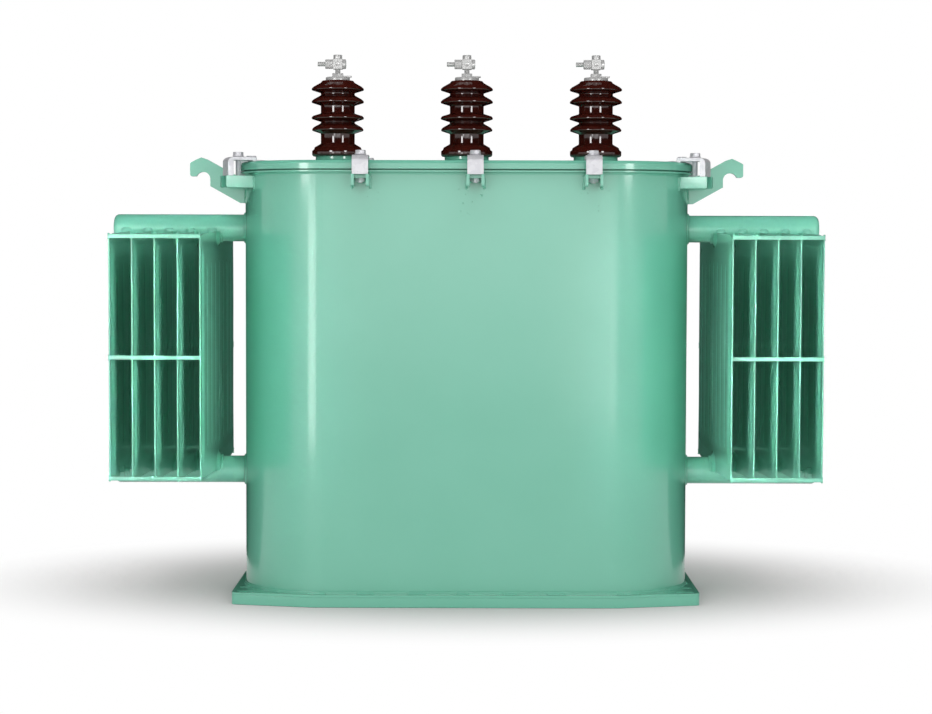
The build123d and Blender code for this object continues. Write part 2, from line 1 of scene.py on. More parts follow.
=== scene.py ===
import bmesh
import bpy
import random
from math import atan2, ceil, cos, hypot, pi, radians, sin, sqrt, tan
from mathutils import Matrix, Vector, noise


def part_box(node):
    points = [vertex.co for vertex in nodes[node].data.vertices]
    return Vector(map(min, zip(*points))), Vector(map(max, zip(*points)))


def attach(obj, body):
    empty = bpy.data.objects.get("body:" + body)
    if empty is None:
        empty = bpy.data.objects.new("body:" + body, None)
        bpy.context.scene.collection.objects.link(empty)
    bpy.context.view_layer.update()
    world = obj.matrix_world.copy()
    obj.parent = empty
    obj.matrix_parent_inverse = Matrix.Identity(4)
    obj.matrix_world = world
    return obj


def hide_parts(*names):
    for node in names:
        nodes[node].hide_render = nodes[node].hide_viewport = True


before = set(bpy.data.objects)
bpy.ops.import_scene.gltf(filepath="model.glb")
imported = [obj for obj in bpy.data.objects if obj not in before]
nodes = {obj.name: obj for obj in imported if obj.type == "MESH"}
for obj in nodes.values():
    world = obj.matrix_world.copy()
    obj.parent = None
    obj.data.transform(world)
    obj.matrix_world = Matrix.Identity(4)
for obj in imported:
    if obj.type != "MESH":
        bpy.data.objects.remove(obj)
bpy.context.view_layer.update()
mm = 0.001
sameSpot = 0.01 * mm
up = Vector((0, 0, 1))
right = Vector((1, 0, 0))
front = Vector((0, -1, 0))
print("frame:", len(nodes), "nodes")


# Where the camera stood for the photograph, in metres and degrees; lens and sensor in millimetres
camera = {
    "place": (0, -4.950, 0.7855),
    "lens": 84.69,
    "sensor": 36,
    "tiltDown": 2.862,
    "roll": 0.15,
    "shiftX": -0.0005,
    "clipEnd": 60,
}


def makeCamera():
    data = bpy.data.cameras.new("camera")
    data.lens = camera["lens"]
    data.sensor_width = camera["sensor"]
    data.shift_x = camera["shiftX"]
    data.clip_end = camera["clipEnd"]
    view = bpy.data.objects.new("camera", data)
    view.location = camera["place"]
    level = Matrix.Rotation(radians(90 - camera["tiltDown"]), 4, "X")
    turned = Matrix.Rotation(radians(-camera["roll"]), 4, "Y")
    view.rotation_euler = (turned @ level).to_euler()
    bpy.context.scene.collection.objects.link(view)
    bpy.context.scene.camera = view


makeCamera()
print("camera set")


# Colours, nodes and materials

def toLinear(hexText):
    # sRGB hex to the linear values that shaders take
    levels = [int(hexText[i:i + 2], 16) / 255 for i in (1, 3, 5)]
    return [c / 12.92 if c <= 0.04045 else ((c + 0.055) / 1.055) ** 2.4 for c in levels] + [1]


def addNode(tree, kind, settings=None, links=None):
    # settings: a property, or an input's name or number; links: an input and what feeds it
    node = tree.nodes.new("ShaderNode" + kind)
    for key, value in (settings or {}).items():
        if isinstance(key, int) or key in node.inputs:
            node.inputs[key].default_value = value
        else:
            setattr(node, key, value)
    for key, source in (links or {}).items():
        tree.links.new(source, node.inputs[key])
    return node


def startMaterial(name):
    material = bpy.data.materials.new(name)
    material.use_nodes = True
    tree = material.node_tree
    tree.nodes.clear()
    place = addNode(tree, "TexCoord").outputs["Object"]
    return material, tree, place


def endMaterial(tree, shader):
    addNode(tree, "OutputMaterial", {}, {"Surface": shader.outputs[0]})


def perMetre(size):
    # texture scale for a pattern whose features are this many millimetres across
    return 1000 / size


def mottle(tree, place, oneColour, otherColour, size, detail):
    # two shades in patches this many millimetres across, and the patches themselves
    patch = addNode(tree, "TexNoise", {"Scale": perMetre(size), "Detail": detail}, {"Vector": place})
    colour = addNode(tree, "Mix", {"data_type": "RGBA", 6: toLinear(oneColour), 7: toLinear(otherColour)},
                     {0: patch.outputs["Fac"]})
    return colour.outputs[2], patch.outputs["Fac"]


def relief(tree, place, size, depth, detail, below=None):
    # unevenness with this grain and depth in millimetres, laid over what is below
    grain = addNode(tree, "TexNoise", {"Scale": perMetre(size), "Detail": detail}, {"Vector": place})
    links = {"Height": grain.outputs["Fac"]}
    if below:
        links["Normal"] = below
    return addNode(tree, "Bump", {"Strength": 1, "Distance": depth * mm}, links).outputs[0]


# Alkyd enamel sprayed on pressed and rolled steel: a full, glossy film with orange peel, over
# sheet that is never quite flat, so that long reflections waver
enamelLook = {
    "colour": "#63B59A",
    "thinColour": "#6DBCA3",
    "patchSize": 160,
    "peelSize": 3.2,
    "peelDepth": 0.012,
    "sheetWaveSize": 210,
    "sheetWaveDepth": 0.5,
    "roughness": (0.32, 0.41),
    "coatRoughness": 0.10,
    "ior": 1.5,
}


def makeEnamel():
    look = enamelLook
    material, tree, place = startMaterial("enamelled steel")
    colour, patch = mottle(tree, place, look["colour"], look["thinColour"], look["patchSize"], 3)
    waved = relief(tree, place, look["sheetWaveSize"], look["sheetWaveDepth"], 0.5)
    peeled = relief(tree, place, look["peelSize"], look["peelDepth"], 1.5, waved)
    smoothest, roughest = look["roughness"]
    gloss = addNode(tree, "MapRange", {"To Min": smoothest, "To Max": roughest}, {"Value": patch})
    shader = addNode(tree, "BsdfPrincipled",
                     {"IOR": look["ior"], "Coat Weight": 1, "Coat IOR": look["ior"],
                      "Coat Roughness": look["coatRoughness"]},
                     {"Base Color": colour, "Roughness": gloss.outputs[0], "Normal": peeled,
                      "Coat Normal": peeled})
    endMaterial(tree, shader)
    return material


# Electrical porcelain, turned and dipped in brown glaze: near black in the dips, redder where
# the glaze runs thin, with a hard wet shine
porcelainLook = {
    "colour": "#240B08",
    "thinColour": "#43150E",
    "runSize": 22,
    "rippleSize": 9,
    "rippleDepth": 0.05,
    "roughness": 0.07,
    "ior": 1.60,
}


def makePorcelain():
    look = porcelainLook
    material, tree, place = startMaterial("glazed porcelain")
    colour = mottle(tree, place, look["colour"], look["thinColour"], look["runSize"], 4)[0]
    rippled = relief(tree, place, look["rippleSize"], look["rippleDepth"], 1)
    shader = addNode(tree, "BsdfPrincipled", {"IOR": look["ior"], "Roughness": look["roughness"]},
                     {"Base Color": colour, "Normal": rippled})
    endMaterial(tree, shader)
    return material


# Hot-dip galvanised steel: a dull, even silver skin with the faintest crystal spangle
zincLook = {
    "colour": "#DCDCE0",
    "darkColour": "#CFCFD4",
    "spangleSize": 9,
    "grainSize": 1.4,
    "grainDepth": 0.02,
    "roughness": (0.39, 0.54),
    "metallic": 0.45,
}


def makeZinc():
    look = zincLook
    material, tree, place = startMaterial("galvanised steel")
    spangle = addNode(tree, "TexVoronoi", {"Scale": perMetre(look["spangleSize"])},
                      {"Vector": place})
    shade = addNode(tree, "SeparateColor", {}, {"Color": spangle.outputs["Color"]})
    colour = addNode(tree, "Mix", {"data_type": "RGBA", 6: toLinear(look["colour"]),
                                   7: toLinear(look["darkColour"])},
                     {0: shade.outputs[0]})
    smoothest, roughest = look["roughness"]
    gloss = addNode(tree, "MapRange", {"To Min": smoothest, "To Max": roughest},
                    {"Value": shade.outputs[1]})
    grained = relief(tree, place, look["grainSize"], look["grainDepth"], 2)
    shader = addNode(tree, "BsdfPrincipled", {"Metallic": look["metallic"]},
                     {"Base Color": colour.outputs[2], "Roughness": gloss.outputs[0], "Normal": grained})
    endMaterial(tree, shader)
    return material


# Tinned brass, turned and milled: a bright satin white-grey skin with fine tool marks
tinLook = {
    "colour": "#E2E2E1",
    "darkColour": "#C8C8C7",
    "blotchSize": 6,
    "toolMarkSize": 1.2,
    "toolMarkDepth": 0.01,
    "roughness": (0.26, 0.44),
    "metallic": 0.5,
}


def makeTin():
    look = tinLook
    material, tree, place = startMaterial("tinned brass")
    colour, blotch = mottle(tree, place, look["colour"], look["darkColour"], look["blotchSize"], 3)
    smoothest, roughest = look["roughness"]
    gloss = addNode(tree, "MapRange", {"To Min": smoothest, "To Max": roughest}, {"Value": blotch})
    marked = relief(tree, place, look["toolMarkSize"], look["toolMarkDepth"], 0)
    shader = addNode(tree, "BsdfPrincipled", {"Metallic": look["metallic"]},
                     {"Base Color": colour, "Roughness": gloss.outputs[0], "Normal": marked})
    endMaterial(tree, shader)
    return material


# Nitrile rubber seal, coloured a soft matt green, darker in patches
rubberLook = {
    "colour": "#4C9A7F",
    "thinColour": "#3A7D66",
    "patchSize": 12,
    "roughness": 0.6,
    "ior": 1.52,
}


def makeRubber():
    look = rubberLook
    material, tree, place = startMaterial("green nitrile rubber")
    colour = mottle(tree, place, look["colour"], look["thinColour"], look["patchSize"], 4)[0]
    shader = addNode(tree, "BsdfPrincipled", {"IOR": look["ior"], "Roughness": look["roughness"]},
                     {"Base Color": colour})
    endMaterial(tree, shader)
    return material


finishes = {
    "enamel": makeEnamel(),
    "porcelain": makePorcelain(),
    "galvanised": makeZinc(),
    "tinned": makeTin(),
    "seal": makeRubber(),
}
print("materials made:", len(finishes))


# Shapes: a shape is a list of points and a list of faces, and becomes one mesh

def newShape():
    return {"points": [], "faces": []}


def anglesRound(count):
    # this many angles, evenly round a circle
    return [2 * pi * i / count for i in range(count)]


def addRings(shape, rings, loop=False):
    # skin a row of closed rings with quads, and close its two ends unless it is a loop
    start = len(shape["points"])
    count = len(rings[0])
    for ring in rings:
        shape["points"] += ring
    for i in range(len(rings) if loop else len(rings) - 1):
        a = start + i * count
        b = start + (i + 1) % len(rings) * count
        for j in range(count):
            k = (j + 1) % count
            shape["faces"].append((a + j, a + k, b + k, b + j))
    if not loop:
        last = start + (len(rings) - 1) * count
        shape["faces"].append([start + j for j in range(count)][::-1])
        shape["faces"].append([last + j for j in range(count)])


def addTurned(shape, origin, axis, side, path, segments, form=None):
    # turn a path of (radius, height) about an axis; form trims the radius at each angle
    across = axis.cross(side)
    rings = []
    for radius, height in path:
        ring = []
        for angle in anglesRound(segments):
            reach = form(angle, radius) if form else radius
            ring.append(origin + axis * height + (side * cos(angle) + across * sin(angle)) * reach)
        rings.append(ring)
    addRings(shape, rings)


def hexagonForm(flats):
    # keeps a turned form inside a hexagon, which leaves its corners chamfered
    def form(angle, radius):
        return min(radius, flats / 2 / cos((angle + pi / 6) % (pi / 3) - pi / 6))
    return form


def roundedPath(corners, turn=12):
    # corners are (x, y, radius); an arc takes the place of each corner that has a radius
    path = []
    for i, (x, y, radius) in enumerate(corners):
        here = Vector((x, y))
        if radius == 0:
            path.append(tuple(here))
            continue
        before = (Vector(corners[i - 1][:2]) - here).normalized()
        after = (Vector(corners[i + 1][:2]) - here).normalized()
        inside = before.angle(after)
        centre = here + (before + after).normalized() * radius / sin(inside / 2)
        start = here + before * radius / tan(inside / 2) - centre
        end = here + after * radius / tan(inside / 2) - centre
        first = atan2(start.y, start.x)
        sweep = (atan2(end.y, end.x) - first + pi) % (2 * pi) - pi
        steps = max(2, ceil(abs(sweep) / radians(turn)))
        for step in range(steps + 1):
            angle = first + sweep * step / steps
            path.append((centre.x + radius * cos(angle), centre.y + radius * sin(angle)))
    return path


def addSlab(shape, start, along, wide, tall, length, corner, edge, dimple=()):
    # a bar with rounded corners and softened ends; wide and tall reach from its middle line to its
    # sides, and a dimple in its far end is a list of (radius, depth)
    cuts = 4
    leastCurve = 0.1 * mm

    def ring(at, shrink):
        points = []
        curve = max(corner - shrink, leastCurve)
        for quarter, (wideSign, tallSign) in enumerate(((1, 1), (-1, 1), (-1, -1), (1, -1))):
            for step in range(cuts + 1):
                angle = pi / 2 * (quarter + step / cuts)
                x = wideSign * (wide.length - shrink - curve) + curve * cos(angle)
                y = tallSign * (tall.length - shrink - curve) + curve * sin(angle)
                points.append(start + along * at + wide.normalized() * x + tall.normalized() * y)
        return points

    rings = [ring(0, edge), ring(edge, 0), ring(length - edge, 0), ring(length, edge)]
    count = len(rings[0])
    for radius, depth in dimple:
        angles = [2 * pi * (i + 0.5) / count for i in range(count)]
        rings.append([start + along * (length - depth)
                      + (wide.normalized() * cos(angle) + tall.normalized() * sin(angle)) * radius
                      for angle in angles])
    addRings(shape, rings)


def threadPath(radius, start, length, pitch, depth):
    # a thread drawn as rings, which reads the same as a helix at this size
    turns = max(2, round(length / pitch))
    path = []
    for i in range(turns):
        path.append((radius - depth, start + length * i / turns))
        path.append((radius, start + length * (i + 0.5) / turns))
    path.append((radius - depth, start + length))
    return path


# Nuts and bolts' heads, with the corners turned off at both ends: the radius of their end faces as
# a share of the width over flats, and how steeply the corners fall away
hexagon = {"faceShare": 0.51, "slopeShare": 0.55, "segments": 48}


def addHexagon(shape, origin, axis, side, flats, height):
    corner = flats / sqrt(3)
    face = flats * hexagon["faceShare"]
    slope = (corner - face) * hexagon["slopeShare"]
    path = [(face, 0), (corner, slope), (corner, height - slope), (face, height)]
    addTurned(shape, origin, axis, side, path, hexagon["segments"], hexagonForm(flats))


def evenRoute(points, step, loop=False):
    # the same line as points, with points spaced evenly about step apart
    ends = points + [points[0]] if loop else points
    lengths = [0]
    for a, b in zip(ends, ends[1:]):
        lengths.append(lengths[-1] + (b - a).length)
    count = max(3, round(lengths[-1] / step))
    route = []
    span = 0
    for i in range(count if loop else count + 1):
        along = lengths[-1] * i / count
        while span < len(ends) - 2 and lengths[span + 1] < along:
            span += 1
        share = (along - lengths[span]) / max(lengths[span + 1] - lengths[span], 1e-9)
        route.append(ends[span].lerp(ends[span + 1], share))
    return route


# Weld beads: half-sunk ropes of metal whose ripples follow the welder's steps, thin at open ends
weld = {
    "step": 1.6 * mm,
    "ripplePitch": 4.5 * mm,
    "ripple": 0.13,
    "unevenness": 0.22,
    "lumpsPerMetre": 90,
    "tip": 0.45,
    "growth": 0.4,
    "steepest": 0.9,
    "sides": 8,
    "blobRings": 5,
}


def addBead(shape, points, radius, loop=False):
    route = evenRoute(points, weld["step"], loop)
    rings = []
    count = len(route)
    for i, here in enumerate(route):
        before = route[i - 1] if loop or i else here
        after = route[(i + 1) % count] if loop or i < count - 1 else here
        along = (after - before).normalized()
        across = along.cross(up if abs(along.z) < weld["steepest"] else right).normalized()
        above = across.cross(along)
        phase = i * weld["step"] / weld["ripplePitch"]
        uneven = weld["unevenness"] * noise.noise(here * weld["lumpsPerMetre"])
        swell = 1 + weld["ripple"] * abs(sin(pi * phase)) + uneven
        if not loop:
            swell *= min(1, weld["tip"] + weld["growth"] * min(i, count - 1 - i))
        rings.append([here + (across * cos(angle) + above * sin(angle)) * radius * swell
                      for angle in anglesRound(weld["sides"])])
    addRings(shape, rings, loop)


def addBlob(shape, centre, size):
    # a low rounded lump: a weld tack or a drop of spatter
    rings = []
    for i in range(weld["blobRings"]):
        tall = pi * (i + 1) / (weld["blobRings"] + 1)
        wide = sin(tall)
        rings.append([centre + Vector((size.x * wide * cos(angle), size.y * wide * sin(angle),
                                       size.z * cos(tall))) for angle in anglesRound(weld["sides"])])
    addRings(shape, rings)


def makePiece(name, shape, slot, stands, sharpAngle):
    mesh = bpy.data.meshes.new(name)
    mesh.from_pydata(shape["points"], [], shape["faces"])
    work = bmesh.new()
    work.from_mesh(mesh)
    bmesh.ops.recalc_face_normals(work, faces=work.faces)
    work.to_mesh(mesh)
    work.free()
    mesh.shade_smooth()
    mesh.set_sharp_from_angle(angle=radians(sharpAngle))
    addPiece(name, mesh, slot, stands)


def addPiece(name, mesh, slot, stands):
    mesh.materials.clear()
    mesh.materials.append(finishes[slot])
    piece = bpy.data.objects.new(name, mesh)
    bpy.context.scene.collection.objects.link(piece)
    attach(piece, "root")
    if stands:
        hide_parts(*stands)


def islandBoxes(nodeName):
    # lowest and highest corner of each separate solid in a CAD node
    work = bmesh.new()
    work.from_mesh(nodes[nodeName].data)
    bmesh.ops.remove_doubles(work, verts=work.verts, dist=sameSpot)
    left = set(work.verts)
    boxes = []
    while left:
        group = [left.pop()]
        for vert in group:
            for edge in vert.link_edges:
                other = edge.other_vert(vert)
                if other in left:
                    left.remove(other)
                    group.append(other)
        low = Vector([min(vert.co[i] for vert in group) for i in range(3)])
        high = Vector([max(vert.co[i] for vert in group) for i in range(3)])
        boxes.append((low, high))
    work.free()
    return sorted(boxes, key=lambda box: tuple(box[0]))


# What follows from the frame: the tank's wall, and the places of the clamps
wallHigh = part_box("tank_wall")[1]
halfLength = wallHigh.x
halfDepth = wallHigh.y
halfFlat = halfLength - halfDepth
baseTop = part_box("base_plate")[1].z
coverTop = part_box("cover")[1].z
sideSigns = {"left": -1, "right": 1}


def endMiddle(along):
    # the middle of the round end on this side of the tank
    return halfFlat if along > 0 else -halfFlat


def stationsOfClamps():
    # the middle of each clamp's bolt and its way outwards from the tank
    found = []
    for low, high in islandBoxes("clamp_bolts"):
        middle = (low + high) / 2
        if abs(middle.x) > halfFlat:
            outward = Vector((middle.x - endMiddle(middle.x), middle.y, 0))
        else:
            outward = Vector((0, middle.y, 0))
        found.append({"bolt": middle, "low": low.z, "high": high.z, "outward": outward.normalized()})
    return found


def wallPoint(station, sideways, level):
    # point on the tank's wall beside a station
    outward = station["outward"]
    across = Vector((-outward.y, outward.x, 0))
    if abs(station["bolt"].x) > halfFlat:
        centre = Vector((endMiddle(station["bolt"].x), 0, level))
        return centre + across * sideways + outward * sqrt(halfDepth**2 - sideways**2)
    return Vector((station["bolt"].x, halfDepth * outward.y, level)) + across * sideways


def onRoundEnd(sign, sideways, level):
    # point on one of the tank's round ends, this far in front of its middle or behind it
    return Vector((sign * (halfFlat + sqrt(halfDepth**2 - sideways**2)), sideways, level))


def outlineRoute(proud, level):
    # the tank's outline, this far out from the wall, all the way round
    reach = halfDepth + proud
    steps = 32
    route = []
    for sign in (1, -1):
        for step in range(steps + 1):
            angle = pi * (step / steps - 0.5)
            route.append(Vector((sign * (halfFlat + reach * cos(angle)), sign * reach * sin(angle), level)))
    return route


stations = stationsOfClamps()
bracketLow, bracketHigh = islandBoxes("clamp_brackets_front")[0]


# Pressed fins: two sheets dished over their whole face, parted into channels by pointed grooves,
# seam-welded round the edge and flared into a collar round each header. The last six values place
# the mesh's columns and rows, the rows in millimetres from the fin's ends
fin = {
    "seamSide": 16.5 * mm,
    "seamTop": 24 * mm,
    "seamBottom": 34 * mm,
    "seamHalf": 1.5 * mm,
    "rampWidth": 26 * mm,
    "straightShare": 0.8,
    "cornerRadius": 30 * mm,
    "channels": 8,
    "grooveWidth": 19 * mm,
    "grooveDepth": 0.8 * mm,
    "groovePoint": 18 * mm,
    "deepeningShare": 0.6,
    "grooveMargin": 60 * mm,
    "shoulderHalf": 270 * mm,
    "shoulderRise": 6 * mm,
    "apexRise": 13 * mm,
    "collarReach": 15 * mm,
    "collarHalf": 11 * mm,
    "pipeMargin": 1.5 * mm,
    "edgeChamfer": 0.5 * mm,
    "bow": 0.6 * mm,
    "grooveShares": (-0.5, -0.36, -0.22, -0.1, 0, 0.1, 0.22, 0.36, 0.5),
    "channelShares": (0.36, 0.5, 0.64),
    "columnStep": 5 * mm,
    "middleColumns": 11,
    "pastRamp": 34 * mm,
    "rowLevels": (0, 0.5, 6, 12, 18, 21, 24, 27, 30, 33, 37, 41, 46, 51, 56, 61, 66, 71, 76, 82, 92, 120,
                  160, 205),
}


def smooth(value):
    value = min(max(value, 0), 1)
    return value * value * (3 - 2 * value)


def finEdge(across, straight, sign):
    # height of the fin's top or bottom edge at a distance from its middle
    side = abs(across)
    half = fin["half"]
    if side > fin["shoulderHalf"]:
        rise = fin["shoulderRise"] * (half - side) / (half - fin["shoulderHalf"])
    else:
        share = 1 - side / fin["shoulderHalf"]
        rise = fin["shoulderRise"] + (fin["apexRise"] - fin["shoulderRise"]) * share
    return straight + sign * rise


def finColumns():
    # places across the fin, close together where a groove, a seam or a collar bends the sheet
    half = fin["half"]
    inner = half - fin["seamSide"]
    places = [half, half - fin["edgeChamfer"], inner + fin["columnStep"], inner - fin["pastRamp"]]
    places += [inner - fin["rampWidth"] * third / 3 for third in range(4)]
    pitch = 2 * inner / fin["channels"]
    for i in range(fin["channels"] // 2):
        places += [i * pitch + share * fin["grooveWidth"] for share in fin["grooveShares"]]
        places += [(i + share) * pitch for share in fin["channelShares"]]
    places += [(i + 1) * fin["columnStep"] for i in range(fin["middleColumns"])]
    places = sorted({round(abs(place), 4) for place in places})
    least = 0.45 * mm
    places = [place for i, place in enumerate(places) if i == 0 or place - places[i - 1] > least]
    return [-place for place in reversed(places) if place] + places


def finRows():
    # shares of the way up the fin, close together near its two ends
    height = fin["top"] - fin["bottom"]
    shares = [level * mm / height for level in fin["rowLevels"]]
    return shares + [1 - share for share in reversed(shares)]


def finHalf(across, level, low, high):
    # half of the fin's thickness at a place on its face
    edge = fin["seamHalf"]
    body = fin["bodyHalf"]
    toSide = fin["half"] - fin["seamSide"] - abs(across)
    toEnd = min(high - fin["seamTop"] - level, level - low - fin["seamBottom"])
    corner = fin["cornerRadius"]
    if toSide < corner and toEnd < corner:
        inside = corner - hypot(corner - toSide, corner - toEnd)
    else:
        inside = min(toSide, toEnd)
    ramp = min(max(inside / fin["rampWidth"], 0), 1)
    straight = fin["straightShare"]
    half = edge + (body - edge) * (straight * ramp + (1 - straight) * smooth(ramp))
    pitch = 2 * (fin["half"] - fin["seamSide"]) / fin["channels"]
    index = round(across / pitch)
    if abs(index) < fin["channels"] / 2:
        toTip = min(high - level, level - low) - fin["grooveMargin"]
        wide = fin["grooveWidth"] / 2 * min(1, max(0, toTip) / fin["groovePoint"])
        if wide > 0:
            away = abs(across - index * pitch) / wide
            deepening = fin["groovePoint"] * fin["deepeningShare"]
            deep = fin["grooveDepth"] * min(1, max(0, toTip) / deepening)
            half -= deep * (1 - smooth(away))
    for centre in fin["headers"]:
        away = (hypot(across, level - centre) - fin["headerRadius"]) / fin["collarReach"]
        if away < 1:
            half = max(half, edge + (fin["collarHalf"] - edge) * (1 - max(away, 0)) ** 2)
    return half


def makeFin(name, seed):
    # two faces on one grid, left open inside the header pipes, and the edge that joins them
    low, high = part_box(name)
    middle = (low.x + high.x) / 2
    columns = finColumns()
    rows = finRows()
    random.seed(seed)
    bows = [random.uniform(-1, 1) * fin["bow"] for i in range(4)]
    shape = newShape()
    grids = []
    for face in (-1, 1):
        grid = {}
        for r, share in enumerate(rows):
            for c, across in enumerate(columns):
                bottom = finEdge(across, fin["bottom"], -1)
                top = finEdge(across, fin["top"], 1)
                level = bottom + (top - bottom) * share
                half = finHalf(across, level, bottom, top)
                if r in (0, len(rows) - 1) or c in (0, len(columns) - 1):
                    half -= fin["edgeChamfer"]
                bend = bows[(across > 0) * 2 + (share > 0.5)] * sin(2 * pi * share) ** 2
                bend *= (abs(across) / fin["half"]) ** 2
                grid[r, c] = len(shape["points"])
                shape["points"].append(Vector((middle + face * half + bend, across, level)))
        grids.append(grid)

    def inPipe(key):
        point = shape["points"][grids[0][key]]
        reach = fin["headerRadius"] - fin["pipeMargin"]
        return any(hypot(point.y, point.z - centre) < reach for centre in fin["headers"])

    lastRow = len(rows) - 1
    lastColumn = len(columns) - 1
    for grid in grids:
        for r in range(lastRow):
            for c in range(lastColumn):
                corners = [(r, c), (r, c + 1), (r + 1, c + 1), (r + 1, c)]
                if not all(inPipe(key) for key in corners):
                    shape["faces"].append([grid[key] for key in corners])
    rim = [(0, c) for c in range(lastColumn)] + [(r, lastColumn) for r in range(lastRow)]
    rim += [(lastRow, c) for c in range(lastColumn, 0, -1)] + [(r, 0) for r in range(lastRow, 0, -1)]
    for here, after in zip(rim, rim[1:] + rim[:1]):
        if not (inPipe(here) and inPipe(after)):
            shape["faces"].append([grids[0][here], grids[0][after], grids[1][after], grids[1][here]])
    makePiece(name + "_pressed", shape, "enamel", (name,), sharpAngle=30)


def measureFins():
    low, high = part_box("fin_left_1")
    barLow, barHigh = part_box("tie_bars_left")
    barSizes = islandBoxes("tie_bars_left")[0]
    barHalf = (barSizes[1].z - barSizes[0].z) / 2
    fin["half"] = high.y
    fin["barHalf"] = barHalf
    fin["bodyHalf"] = (high.x - low.x) / 2
    fin["top"] = barHigh.z - barHalf
    fin["bottom"] = barLow.z + barHalf
    fin["headers"] = []
    for level in ("lower", "upper"):
        pipeLow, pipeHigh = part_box(level + "_header_left")
        fin["headers"].append((pipeLow.z + pipeHigh.z) / 2)
        fin["headerRadius"] = (pipeHigh.z - pipeLow.z) / 2


measureFins()
for side in sideSigns:
    for number in range(1, 6):
        makeFin(f"fin_{side}_{number}", number + 10 * sideSigns[side])
print("fins pressed")


# High-voltage bushings, in millimetres: foot, neck, four drooping sheds and head, turned as one
# wet-glazed body. The foot is a row of (diameter, height, rounding). Each shed: the share of the
# height where its tip is, its diameter, and the slope above the tip as (diameter, rise, rounding)
steepSlope = ((108, 6, 8), (90, 11, 0), (76, 15, 3))
flatSlope = ((111, 5, 4), (88, 8.5, 6), (76, 10.5, 2.5))
bushing = {
    "foot": ((115, 0, 5), (115.5, 12.5, 2.5), (107, 15.5, 2.5), (104, 20.5, 3), (76, 28.5, 3)),
    "neck": 76,
    "tipHalf": 1.75,
    "undercut": 6.5,
    "rootRadius": 2.5,
    "tipRadii": (2, 2.6),
    "sheds": ((0.351, 115, steepSlope), (0.506, 117, flatSlope), (0.720, 117, steepSlope),
              (0.886, 117, steepSlope)),
    "head": 70,
    "headRadius": 3,
    "bore": 24,
    "segments": 128,
}


def bushingPath(height):
    corners = [(bushing["bore"], 0, 0)] + list(bushing["foot"])
    high = height / mm
    lowerRadius, upperRadius = bushing["tipRadii"]
    for share, wide, slope in bushing["sheds"]:
        tip = share * high
        lower = tip - bushing["tipHalf"]
        upper = tip + bushing["tipHalf"]
        corners += [(bushing["neck"], lower - bushing["undercut"], bushing["rootRadius"])]
        corners += [(wide, lower, lowerRadius), (wide, upper, upperRadius)]
        corners += [(across, tip + rise, radius) for across, rise, radius in slope]
    corners += [(bushing["head"], high, bushing["headRadius"]), (bushing["bore"], high, 0)]
    return roundedPath([(across / 2 * mm, level * mm, radius * mm) for across, level, radius in corners])


def bushingEnds(side):
    # the middle of a bushing's foot and the middle of its head
    low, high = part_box(f"hv_bushing_{side}")
    middle = ((low.x + high.x) / 2, (low.y + high.y) / 2)
    return Vector((*middle, low.z)), Vector((*middle, high.z))


def makeBushings():
    for side in ("left", "middle", "right"):
        foot, head = bushingEnds(side)
        shape = newShape()
        addTurned(shape, foot, up, right, bushingPath(head.z - foot.z), bushing["segments"])
        makePiece(f"hv_porcelain_{side}", shape, "porcelain", (f"hv_bushing_{side}",), sharpAngle=50)


makeBushings()
print("high-voltage bushings turned")


# High-voltage terminals, in millimetres: a cap with its tab, a lock nut, a threaded stem, a block
# with a dimple and its clamping screw, and a knurled sleeve on the stud that takes the lead.
# Turned outlines are rows of (radius, height)
terminal = {
    "cap": ((26.2, 0), (27, 0.8), (27, 6.5), (26.5, 7.5), (25.4, 8)),
    "tab": (31, 7.5, 3),  # reach, half its width, thickness
    "tabEdge": 0.6,
    "nutFlats": 24,
    "nutHeight": 8.7,
    "stem": 6,
    "stemHeight": 9.3,
    "blockHalf": 11,
    "blockHeight": 22.8,
    "blockCorner": 1.6,
    "blockEdge": 0.7,
    "dimple": ((5.2, 0), (4.4, 0.7), (2.6, 1.2)),  # radius, depth
    "screwFlats": 17,
    "screwHeight": 9.1,
    "sleeve": 10.6,
    "sleeveLength": 17,
    "sleeveChamfer": 1,
    "knurls": 30,
    "knurlDepth": 0.035,
    "stud": 5.35,
    "studLength": 17,
    "threadPitch": 2.1,
    "threadDepth": 0.75,
    "tail": ((10.4, 0), (10.9, 0.5), (10.9, 5.6), (10.2, 6.9), (8.8, 7.5)),
    "capSegments": 64,
    "threadSegments": 32,
    "sleeveSegments": 240,
    "tailSegments": 48,
}


def scaled(path):
    return [(radius * mm, height * mm) for radius, height in path]


def knurlForm(angle, radius):
    return radius * (1 - terminal["knurlDepth"] * abs(sin(terminal["knurls"] * angle / 2)))


